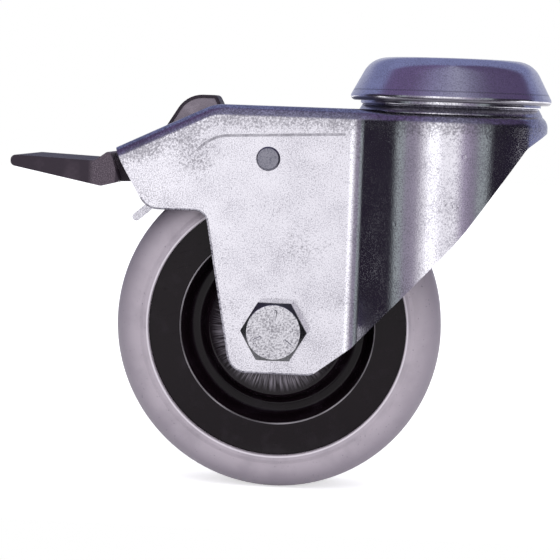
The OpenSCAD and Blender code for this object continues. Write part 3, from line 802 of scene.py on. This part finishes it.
@dataclass
class Fork:
    """The pressed fork with its axle and rivets."""

    axle: Spot
    cheek_y: float = 15 * MM
    flat_from: float = 0.999
    edge_from: float = 5.8 * MM
    edge_to_x: float = -22.3 * MM
    edge_w: float = 0.45 * MM
    edge_h: float = 0.04 * MM
    top_z: float = -12 * MM
    bend_x: float = -53.2 * MM
    tail_fall: float = 0.479
    roll_r: float = 3 * MM
    roll_reach: float = 2.6
    roll_shade_share: float = 0.24
    crease_front: Spot = (-23.2 * MM, -17.8 * MM)
    crease_knee: Spot = (-49.2 * MM, -19 * MM)
    crease_r: float = 9 * MM
    crease_end_z: float = -22.4 * MM
    crease_w: float = 0.19 * MM
    crease_soft: float = 2.2
    crease_noise: float = 1.2 * MM
    crease_noise_span: Span = (0.2, 1.1)
    knee_shade_at: Spot = (-57 * MM, -23.5 * MM)
    knee_shade_r: Span = (1.5 * MM, 7.5 * MM)
    knee_shade_share: float = 0.2
    blotch_dark: float = 0.7
    blotch: float = 0.45 * MM
    blotchy: Span = (0.55, 0.9)
    field: float = 9 * MM
    field_from: Span = (0.48, 0.75)
    field_share: float = 0.11
    hollow_from: float = -22.3 * MM
    hollow_to: float = -12.5 * MM
    hollow_bend: float = 3.6 * MM
    hollow_lean: float = math.radians(36)
    hollow_outward: float = 0.4
    hollow_upright: float = 0.2
    bolt_face_r: float = 6.05 * MM
    bolt_chamfer: float = 0.15 * MM
    bolt_head_h: float = 1.6 * MM
    bolt_shade: float = 0.92
    tick_turns: tuple[int, ...] = (35, 155, 275)
    tick_from: float = 3.0 * MM
    tick_to: float = 5.0 * MM
    tick_w: float = 0.6 * MM
    tick_h: float = 0.15 * MM
    tick_top: Span = (0.9, 0.6)
    tick_round: float = 0.05 * MM

    def build(self) -> None:
        """Dresses the fork's nodes and marks the bolt head."""
        dress("fork", Zinc("fork_zinc", pits=7 * MM).make(self.mottling_and_shade))
        self.tighten_hollow()
        # The edge strip's dark zinc is painted shade along the cheek's rounded edge.
        edge = Zinc(
            "edge_shade_zinc", pale=(0.5, 0.49, 0.54), dull=(0.12, 0.11, 0.14), rough=0.4,
            grain=0.6 * MM,
        ).make()
        for side in Side:
            self.shaded_edge_strip(side, edge)
        # The bolt's darkest colour is painted shade, laid on the head's chamfered corners.
        bolt = Zinc(
            "bolt_zinc", pale=(0.72, 0.71, 0.75), dull=(0.34, 0.33, 0.36),
            stain_and_shade_colour=(0.07, 0.07, 0.075), rough=0.3, grain=0.5 * MM, grain_depth=0.06 * MM,
            cloud=3 * MM,
        ).make(self.bolt_corner_shade)
        dress("axle_bolt", bolt, angle=12.0)
        self.ticks(bolt)
        dress("axle_nut", Zinc("nut_zinc", cloud=3 * MM).make())
        dress("nut_insert", Moulded("insert_blue", (0.05, 0.12, 0.3), (0.08, 0.16, 0.34)).make())
        sleeve = Turned("sleeve_steel", (0.5, 0.5, 0.52), centre=self.axle, along_y=True)
        dress("axle_sleeve", sleeve.make())
        rivet = Zinc(
            "rivet_zinc", pale=(0.27, 0.265, 0.31), dull=(0.17, 0.17, 0.21), rough=0.3,
            cloud=2 * MM,
        ).make()
        for node in ("pivot_rivet_near", "pivot_rivet_far", "lever_pin", "leaf_rivet"):
            dress(node, rivet)

    def shaded_edge_strip(self, side: Side, material: bpy.types.Material) -> None:
        """Lays a low rounded strip round one cheek's face, for its rounded edge, in a darker zinc
        that is painted shade.

        Args:
            side: Which cheek.
            material: The edge's material.
        """
        chain = self.chain(self.open_edges(side))
        if not chain:
            LOG.warning("no sheared edge found on the %s cheek", side.name.lower())
            return
        edge = [Vector((x, side.value * self.cheek_y, z)) for x, z in chain]
        trim = Detail(f"fork_edge_{side.name.lower()}", "swivel_fork", "fork_zinc", material)
        trim.ribbon(edge, self.into_cheek, self.edge_w, self.edge_h, side)
        trim.place()

    def open_edges(self, side: Side) -> dict[Spot, list[Spot]]:
        """Finds the outer edges of a cheek's flat face, from below its roll to the hollow.

        Args:
            side: Which cheek.

        Returns:
            For each point of those edges, as X and Z, the points it is joined to.
        """
        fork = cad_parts["fork"]
        uses: Counter[frozenset[Spot]] = Counter()
        for face in fork.data.polygons:
            off = (fork.matrix_world @ face.center).y - side.value * self.cheek_y
            if face.normal.y * side.value <= self.flat_from or abs(off) >= SAME_PLANE:
                continue
            points = [fork.matrix_world @ fork.data.vertices[index].co for index in face.vertices]
            spots = [(round(point.x, DIGITS), round(point.z, DIGITS)) for point in points]
            pairs = zip(spots, spots[1:] + spots[:1])
            uses.update(frozenset(pair) for pair in pairs if pair[0] != pair[1])
        links: dict[Spot, list[Spot]] = {}
        for (first, second), count in uses.items():
            low_enough = min(self.below_top(*first), self.below_top(*second)) > self.edge_from
            if count == 1 and low_enough and max(first[0], second[0]) < self.edge_to_x:
                links.setdefault(first, []).append(second)
                links.setdefault(second, []).append(first)
        return links

    @staticmethod
    def chain(links: dict[Spot, list[Spot]]) -> list[Spot]:
        """Strings joined points together.

        Args:
            links: For each point, the points it is joined to.

        Returns:
            The points in order from the rearmost loose end, or none if there is no loose end.
        """
        ends = [spot for spot, others in links.items() if len(others) == 1]
        chain = [min(ends)] if ends else []
        while chain:
            onward = [other for other in links[chain[-1]] if other not in chain]
            if not onward:
                break
            chain.append(onward[0])
        return chain

    def below_top(self, x: float, z: float) -> float:
        """Returns how far a place on the cheek lies below the fork's top line."""
        return min(self.top_z, self.top_z + self.tail_fall * (x - self.bend_x)) - z

    @staticmethod
    def into_cheek(_: Vector, along: Vector) -> Vector:
        """Returns the way into the cheek's sheet, for an edge run from the tail to the nose."""
        return Vector((-along.z, 0.0, along.x))

    def tighten_hollow(self) -> None:
        """Turns the shading between cheek and nose, so that it bends as early as the real sheet."""
        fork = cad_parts["fork"]
        data = fork.data
        turned = []
        for loop, corner in zip(data.loops, data.corner_normals):
            normal = Vector(corner.vector)
            spot = fork.matrix_world @ data.vertices[loop.vertex_index].co
            side = math.copysign(1.0, spot.y)
            outward = normal.y * side
            on_hollow = self.hollow_from < spot.x < self.hollow_to
            if on_hollow and outward > self.hollow_outward and abs(normal.z) < self.hollow_upright:
                flat = math.hypot(normal.x, outward)
                share = min(1.0, (spot.x - self.hollow_from) / self.hollow_bend)
                lean = max(math.atan2(-normal.x, outward), self.hollow_lean * share)
                normal = Vector((
                    -math.sin(lean) * flat, math.cos(lean) * flat * side, normal.z))
            turned.append(normal)
        data.normals_split_custom_set(turned)

    def mottling_and_shade(self, shader: Shader) -> Socket:
        """Finds where the fork is darker: blotches, made denser as painted shade below the rolled
        edge and in the pressed dip at the knee, and the crease's painted shade.

        Args:
            shader: The fork's shader.

        Returns:
            How dark each place is, from 0 to 1.
        """
        x, _, z = shader.split(shader.place)
        rise = self.top_z - self.tail_fall * self.bend_x
        tail = shader.math("MULTIPLY_ADD", x, self.tail_fall, rise)
        depth = shader.math("SUBTRACT", shader.math("MINIMUM", tail, self.top_z), z)
        # Painted shade below the rolled edge and in the pressed dip at the knee makes the blotches
        # denser there.
        roll_shade = shader.fade(depth, self.roll_r, self.roll_reach * self.roll_r)
        knee_shade = shader.fade(shader.away(x, z, self.knee_shade_at), *self.knee_shade_r)
        wide = shader.band(shader.noise(self.field), *self.field_from)
        amount = shader.times(wide, self.field_share)
        amount = shader.math("MULTIPLY_ADD", roll_shade, self.roll_shade_share, amount)
        amount = shader.math("MULTIPLY_ADD", knee_shade, self.knee_shade_share, amount)
        blotches = shader.math("ADD", shader.noise(self.blotch), amount)
        blotches = shader.times(shader.band(blotches, *self.blotchy), self.blotch_dark)
        return shader.math("MAXIMUM", blotches, self.crease(shader, x, z))

    def crease(self, shader: Shader, x: Socket, z: Socket) -> Socket:
        """Finds the thin painted shade at the foot of the crease: a straight stretch, and an arc
        behind the knee.

        Args:
            shader: The fork's shader.
            x: X of the place.
            z: Z of the place.

        Returns:
            How dark the crease makes each place, from 0 to 1.
        """
        (front_x, front_z), (knee_x, knee_z) = self.crease_front, self.crease_knee
        slope = (front_z - knee_z) / (front_x - knee_x)
        line_z = shader.math("MULTIPLY_ADD", x, slope, front_z - slope * front_x)
        off_line = shader.off(z, line_z)
        from_centre = shader.away(x, z, (knee_x, knee_z - self.crease_r))
        off_arc = shader.off(from_centre, self.crease_r)
        behind = shader.math("LESS_THAN", x, knee_x)
        ahead = shader.math("SUBTRACT", 1.0, behind)
        off = shader.math("ADD", shader.times(off_arc, behind), shader.times(off_line, ahead))
        # Painted shade along the crease groove, broken up by noise.
        thin = shader.fade(off, self.crease_w, self.crease_soft * self.crease_w)
        before_front = shader.math("LESS_THAN", x, front_x)
        above_end = shader.math("GREATER_THAN", z, self.crease_end_z)
        uneven = shader.scaled(shader.noise(self.crease_noise), *self.crease_noise_span)
        return shader.times(thin, before_front, above_end, uneven)

    def bolt_corner_shade(self, shader: Shader) -> Socket:
        """Finds the bolt head's chamfered corners, outside its face, which get painted shade.

        Args:
            shader: The bolt's shader.

        Returns:
            How dark each place is, from 0 to 1.
        """
        x, y, z = shader.split(shader.place)
        face_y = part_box("axle_bolt")[0].y
        front = shader.math("LESS_THAN", y, face_y + self.bolt_head_h)
        away = shader.away(x, z, self.axle)
        corner = shader.band(away, self.bolt_face_r, self.bolt_face_r + self.bolt_chamfer)
        return shader.times(corner, front, self.bolt_shade)

    def ticks(self, material: bpy.types.Material) -> None:
        """Raises plain ticks on the bolt head's face.

        Args:
            material: The bolt's material.
        """
        face_at = Vector((self.axle[0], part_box("axle_bolt")[0].y, self.axle[1]))
        middle = (self.tick_from + self.tick_to) / 2
        length = self.tick_to - self.tick_from
        for turn in self.tick_turns:
            tick = Detail(f"bolt_tick_{turn}", "swivel_fork", "axle_zinc", material)
            verts = bmesh.ops.create_cube(tick.mesh, size=1.0)["verts"]
            for vert in verts:
                along, across = self.tick_top if vert.co.y < 0 else (1.0, 1.0)
                vert.co = Vector((
                    middle + vert.co.x * length * along,
                    vert.co.y * self.tick_h * 2,
                    vert.co.z * self.tick_w * across,
                ))
            turned = Matrix.Rotation(math.radians(turn), 4, "Y")
            bmesh.ops.transform(
                tick.mesh, verts=verts, matrix=Matrix.Translation(face_at) @ turned)
            bmesh.ops.bevel(
                tick.mesh, geom=tick.mesh.edges[:], offset=self.tick_round, segments=2,
                affect="EDGES")
            tick.place()


@dataclass
class Brake:
    """The brake plate, its leaf and the foot lever."""

    shoulder_x: Span = (-80 * MM, -75.2 * MM)
    shoulder_fade: Span = (1.5 * MM, 0.3 * MM)
    leaf_steps: int = 16
    leaf_hold: float = 1.0 * MM
    tab_y: float = 4.2 * MM
    tab_foot_z: float = -19 * MM
    tab_middle: Spot = (-59 * MM, -15.5 * MM)
    tab_turn_up: float = 3 * MM
    rim_in: float = 0.1 * MM
    rim_w: float = 0.75 * MM
    rim_h: float = 0.22 * MM
    panel_h: float = 0.06 * MM

    def build(self) -> None:
        """Dresses the brake's nodes, remakes its leaf as a strip cut into bands and trims the release
        tab.
        """
        plate = Zinc("plate_zinc", pale=(0.66, 0.65, 0.7), dull=(0.3, 0.29, 0.33), cloud=1.5 * MM)
        dress("brake_plate", plate.make())
        leaf = Turned("leaf_steel", (0.2, 0.21, 0.27), roughness=0.35).make()
        dress("return_leaf", leaf)
        self.leaf_strip(leaf)
        black = Moulded("lever_black", (0.032, 0.021, 0.033), (0.064, 0.046, 0.063))
        lever = black.make(self.shoulder)
        dress("brake_lever", lever)
        grained = Moulded(
            "tab_grained", (0.27, 0.23, 0.27), (0.44, 0.38, 0.43), roughness=0.6,
            grain=0.35 * MM)
        panel = grained.make()
        for side in Side:
            self.tab_rim(side, lever)
            self.tab_panel(side, panel)

    def leaf_strip(self, material: bpy.types.Material) -> None:
        """Makes the return leaf as a strip cut across into level bands; the plate rocks below the
        fork's top.

        Args:
            material: Its blued steel.
        """
        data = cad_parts["return_leaf"].data.copy()
        data.name = "leaf_strip"
        low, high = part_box("return_leaf")
        shape = bmesh.new()
        shape.from_mesh(data)
        bmesh.ops.remove_doubles(shape, verts=shape.verts, dist=SAME_POINT)
        for step in range(1, self.leaf_steps):
            level = low.z + (high.z - low.z) * step / self.leaf_steps
            bmesh.ops.bisect_plane(
                shape, geom=shape.verts[:] + shape.edges[:] + shape.faces[:],
                plane_co=(0.0, 0.0, level), plane_no=(0.0, 0.0, 1.0))
        shape.to_mesh(data)
        shape.free()
        data.materials.clear()
        data.materials.append(material)
        soften(data, SOFT_ANGLE)
        strip = add_object("leaf_strip", data)
        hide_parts("return_leaf")
        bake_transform(strip)
        LOG.info("made leaf_strip between brake_rocker and swivel_fork")

    def shoulder(self, shader: Shader) -> Socket:
        """Finds the pedal's shoulder, which is made paler.

        Args:
            shader: The lever's shader.

        Returns:
            1 on the shoulder and 0 elsewhere.
        """
        x, _, _ = shader.split(shader.place)
        begin, end = self.shoulder_x
        before, after = self.shoulder_fade
        starts = shader.band(x, begin - before, begin)
        return shader.times(starts, shader.fade(x, end, end + after))

    def tab_outline(self, side: Side) -> list[Vector]:
        """Finds the visible edge of the tab's side face.

        Args:
            side: Which face.

        Returns:
            Its points, from the foot over the crown.
        """
        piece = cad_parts["brake_lever"]
        spots: dict[Spot, Vector] = {}
        for vert in piece.data.vertices:
            point = piece.matrix_world @ vert.co
            on_face = abs(point.y - side.value * self.tab_y) < SAME_PLANE
            if on_face and point.z > self.tab_foot_z:
                spots[round(point.x, DIGITS), round(point.z, DIGITS)] = point
        middle_x, middle_z = self.tab_middle

        def turn(point: Vector) -> float:
            """Returns the point's angle round the tab's middle, counted from below."""
            up = point.z - middle_z - self.tab_turn_up
            return math.atan2(middle_x - point.x, -up) % math.tau

        return sorted(spots.values(), key=turn)

    def inwards(self, points: list[Vector], step: float) -> list[Vector]:
        """Moves an edge towards the tab's inside.

        Args:
            points: The edge's points.
            step: How far they move, square to the edge.

        Returns:
            The moved points.
        """
        return [
            point + self.into_tab(point, run_at(points, index)) * step
            for index, point in enumerate(points)
        ]

    def into_tab(self, point: Vector, along: Vector) -> Vector:
        """Finds the way from the tab's edge into its face.

        Args:
            point: A point of the edge.
            along: The edge's run there.

        Returns:
            The direction, square to the run.
        """
        square = Vector((along.z, 0.0, -along.x))
        middle = Vector((self.tab_middle[0], point.y, self.tab_middle[1]))
        return square if square.dot(middle - point) > 0 else -square

    def tab_rim(self, side: Side, material: bpy.types.Material) -> None:
        """Raises a narrow rim along the edge of one face of the tab.

        Args:
            side: Which face.
            material: The rim's material.
        """
        rim = Detail(f"tab_rim_{side.name.lower()}", "foot_lever", "lever_plastic", material)
        edge = self.inwards(self.tab_outline(side), self.rim_in)
        rim.ribbon(edge, self.into_tab, self.rim_w, self.rim_h, side)
        rim.place()

    def tab_panel(self, side: Side, material: bpy.types.Material) -> None:
        """Lays the grained face inside the tab's rim.

        Args:
            side: Which face.
            material: The panel's material.
        """
        panel = Detail(f"tab_panel_{side.name.lower()}", "foot_lever", "lever_plastic", material)
        edge = self.inwards(self.tab_outline(side), 0.5 * self.rim_w)
        top = Vector((0.0, side.value * self.panel_h, 0.0))
        upper = [panel.mesh.verts.new(point + top) for point in edge]
        lower = [panel.mesh.verts.new(point - top) for point in edge]
        panel.mesh.faces.new(upper)
        panel.mesh.faces.new(lower)
        for index, (first, second) in enumerate(zip(upper, upper[1:] + upper[:1])):
            after = (index + 1) % len(lower)
            panel.mesh.faces.new((first, second, lower[after], lower[index]))
        panel.place()


BEHIND: Colour = (0.55, 0.57, 0.68)
BACKDROP: Colour = (0.2, 0.22, 0.4)
GREENISH: Colour = (0.31, 0.345, 0.35)
BLACK: Colour = (0.016, 0.012, 0.022)
FRONT: Colour = (0.99, 0.98, 1.01)
FLOOR_SHEEN: Colour = (0.3, 0.29, 0.33)
DIM: Colour = (0.05, 0.04, 0.06)

# Each room is a row of bearings, in degrees from the camera towards +X, and the colours there.
LEVEL: Stops = (
    (-180, BEHIND),
    (-122, BACKDROP),
    (-109, (0.02, 0.015, 0.03)),
    (-66, BLACK),
    (-61, GREENISH),
    (-54, GREENISH),
    (-50, (0.27, 0.245, 0.31)),
    (-36, (0.34, 0.31, 0.38)),
    (-25, (1.0, 0.99, 1.02)),
    (-20, (1.5, 1.5, 1.52)),
    (-13, (1.45, 1.45, 1.47)),
    (-7, FRONT),
    (9, FRONT),
    (17, (0.42, 0.37, 0.48)),
    (31, (0.24, 0.21, 0.28)),
    (36, GREENISH),
    (46, GREENISH),
    (50, BLACK),
    (106, (0.018, 0.014, 0.03)),
    (110, BACKDROP),
    (180, BEHIND),
)
OVERHEAD: Stops = (
    (-180, BACKDROP),
    (-108, BACKDROP),
    (-100, (0.125, 0.09, 0.205)),
    (-62, (0.14, 0.1, 0.22)),
    (-25, (0.24, 0.23, 0.37)),
    (10, (0.31, 0.31, 0.42)),
    (35, (0.19, 0.18, 0.28)),
    (62, (0.1, 0.075, 0.16)),
    (118, (0.08, 0.055, 0.13)),
    (126, BACKDROP),
    (180, BACKDROP),
)
BELOW: Stops = (
    (-180, DIM),
    (-45, DIM),
    (-22, FLOOR_SHEEN),
    (26, FLOOR_SHEEN),
    (50, DIM),
    (180, DIM),
)


class Surround:
    """The world: white to the camera, plain to rough surfaces, softly banded to glossy ones."""

    level_from: Span = (-0.3, -0.12)
    overhead_from: Span = (0.28, 0.5)
    white: tuple[float, ...] = (1.0, 1.0, 1.0, 1.0)
    plain: tuple[float, ...] = (0.93, 0.93, 0.97, 1.0)
    plain_strength: float = 0.85

    def __init__(self) -> None:
        """Starts an empty world, with the height and the bearing of each direction."""
        world = bpy.data.worlds.new("surround")
        bpy.context.scene.world = world
        world.use_nodes = True
        self.tree = world.node_tree
        self.tree.nodes.clear()
        where = self.node("ShaderNodeTexCoord").outputs["Generated"]
        x, y, self.height = self.node("ShaderNodeSeparateXYZ", where).outputs
        front = self.node("ShaderNodeMath", y, -1.0, operation="MULTIPLY").outputs[0]
        angle = self.node("ShaderNodeMath", x, front, operation="ARCTAN2").outputs[0]
        turn = self.node("ShaderNodeMath", angle, 1.0 / math.tau, 0.5, operation="MULTIPLY_ADD")
        self.bearing = turn.outputs[0]

    def node(
        self, kind: str, *inputs: Socket | float | tuple[float, ...], **facts: str,
    ) -> bpy.types.Node:
        """Adds a node.

        Args:
            kind: Its type.
            inputs: What its inputs get, in order: outputs to link, or constants.
            facts: Its properties.

        Returns:
            The node.
        """
        made = self.tree.nodes.new(kind)
        for name, value in facts.items():
            setattr(made, name, value)
        for socket, value in zip(made.inputs, inputs):
            if isinstance(value, bpy.types.NodeSocket):
                self.tree.links.new(value, socket)
            else:
                socket.default_value = value
        return made

    def ramp(self, stops: Stops) -> Socket:
        """Makes a colour that runs through stops round the castor.

        Args:
            stops: The bearings and their colours.

        Returns:
            The colour in each direction.
        """
        made = self.node("ShaderNodeValToRGB", self.bearing)
        elements = made.color_ramp.elements
        while len(elements) < len(stops):
            elements.new(0.5)
        for element, (degrees, colour) in zip(elements, stops):
            element.position = degrees / 360.0 + 0.5
            element.color = (*colour, 1.0)
        return made.outputs[0]

    def blend(self, heights: Span, low: Socket, high: Socket) -> Socket:
        """Blends two rooms by height.

        Args:
            heights: Where the blend begins and ends.
            low: The colour below the first height.
            high: The colour above the second one.

        Returns:
            The blended colour.
        """
        rise = self.node(
            "ShaderNodeMapRange", self.height, *heights, interpolation_type="SMOOTHSTEP")
        made = self.node("ShaderNodeMix", rise.outputs["Result"], data_type="RGBA")
        self.tree.links.new(low, made.inputs[6])
        self.tree.links.new(high, made.inputs[7])
        return made.outputs[2]

    def glow(self, colour: Socket | tuple[float, ...], strength: float = 1.0) -> Socket:
        """Returns a background of a colour."""
        return self.node("ShaderNodeBackground", colour, strength).outputs[0]

    def build(self) -> None:
        """Chooses the world's look by the kind of ray that meets it."""
        upper = self.blend(self.overhead_from, self.ramp(LEVEL), self.ramp(OVERHEAD))
        room = self.blend(self.level_from, self.ramp(BELOW), upper)
        plain = self.glow(self.plain, self.plain_strength)
        ray = self.node("ShaderNodeLightPath").outputs
        lit = self.node("ShaderNodeMixShader", ray["Is Glossy Ray"], plain, self.glow(room))
        seen = self.node(
            "ShaderNodeMixShader", ray["Is Camera Ray"], lit.outputs[0], self.glow(self.white))
        self.node("ShaderNodeOutputWorld", seen.outputs[0])


@dataclass(frozen=True)
class Lamp:
    """A soft square lamp: its place, its side in metres and its power in watts."""

    name: str
    where: tuple[float, float, float]
    size: float
    power: float

    def hang(self, target: Vector) -> None:
        """Hangs the lamp.

        Args:
            target: The point that it faces.
        """
        data = bpy.data.lights.new(self.name, "AREA")
        data.size = self.size
        data.energy = self.power
        lamp = add_object(self.name, data)
        lamp.visible_glossy = False
        lamp.location = self.where
        lamp.rotation_euler = (target - lamp.location).to_track_quat("-Z", "Y").to_euler()


@dataclass(frozen=True)
class View:
    """The camera's place in metres, angles in radians and focal length in pixels."""

    place: tuple[float, float, float]
    yaw: float
    pitch: float
    roll: float
    lens_px: float
    frame_px: int = 560
    sensor: float = 36.0
    clip: float = 0.01

    def look(self) -> None:
        """Places the camera."""
        level = Vector((-math.sin(self.yaw), math.cos(self.yaw), 0.0))
        ahead = level * math.cos(self.pitch) - Vector((0.0, 0.0, math.sin(self.pitch)))
        right = Vector((math.cos(self.yaw), math.sin(self.yaw), 0.0))
        up = right.cross(ahead)
        cos_roll, sin_roll = math.cos(self.roll), math.sin(self.roll)
        axes = (right * cos_roll + up * sin_roll, up * cos_roll - right * sin_roll, -ahead)
        data = bpy.data.cameras.new("camera")
        data.sensor_width = self.sensor
        data.lens = self.sensor * self.lens_px / self.frame_px
        data.clip_start = self.clip
        eye = add_object("camera", data)
        place = Matrix.Translation(self.place)
        eye.matrix_world = place @ Matrix(axes).transposed().to_4x4()
        bpy.context.scene.camera = eye


@dataclass(frozen=True)
class Floor:
    """A pale floor that keeps the castor's shadow and reads white to the camera."""

    z: float
    half: float = 1.0
    front_y: float = -0.055
    pale: Colour = (0.86, 0.86, 0.87)
    glow: float = 0.6

    def lay(self) -> None:
        """Lays the floor, from just before the wheel to far behind it."""
        data = bpy.data.meshes.new("floor")
        near, far = self.front_y, 2 * self.half
        corners = [(-self.half, near), (self.half, near), (self.half, far), (-self.half, far)]
        data.from_pydata([(x, y, self.z) for x, y in corners], [], [(0, 1, 2, 3)])
        plane = add_object("floor", data)
        shader = Shader("floor_pale")
        shader.set(
            Base_Color=self.pale, Roughness=0.9, Specular_IOR_Level=0.1,
            Emission_Color=(1.0, 1.0, 1.0))
        ray = shader.tree.nodes.new("ShaderNodeLightPath").outputs
        seen = shader.math("MAXIMUM", ray["Is Camera Ray"], ray["Is Glossy Ray"])
        seen = shader.math("MAXIMUM", seen, ray["Is Transmission Ray"])
        shader.link(shader.times(seen, self.glow), "Emission Strength")
        data.materials.append(shader.material)


def studio(axle: Spot) -> None:
    """Builds the floor, the surround, the lamps and the camera fitted to the photograph.

    Args:
        axle: X and Z of the wheel's axle.
    """
    Floor(CAD_BOX[0][2]).lay()
    Surround().build()
    target = Vector((axle[0], 0.0, axle[1] / 2))
    for lamp in (
        Lamp("key", (0.05, -0.5, 0.6), size=0.6, power=1.5),
        Lamp("fill", (0.35, -0.6, 0.05), size=0.4, power=0.6),
        Lamp("back", (0.1, 0.6, 0.5), size=0.6, power=0.4),
    ):
        lamp.hang(target)
    View(
        place=(-0.0028127, -0.4511157, -0.0120693),
        yaw=0.0777, pitch=0.0891, roll=0.0358, lens_px=1942.43,
    ).look()
    bpy.context.scene.view_settings.view_transform = "Standard"


def main() -> None:
    """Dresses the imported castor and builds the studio."""
    low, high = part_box("tyre")
    axle = ((low.x + high.x) / 2, (low.z + high.z) / 2)
    Wheel(axle, radius=(high.x - low.x) / 2).build()
    Head().build()
    Fork(axle).build()
    Brake().build()
    studio(axle)


if __name__ == "__main__":
    main()
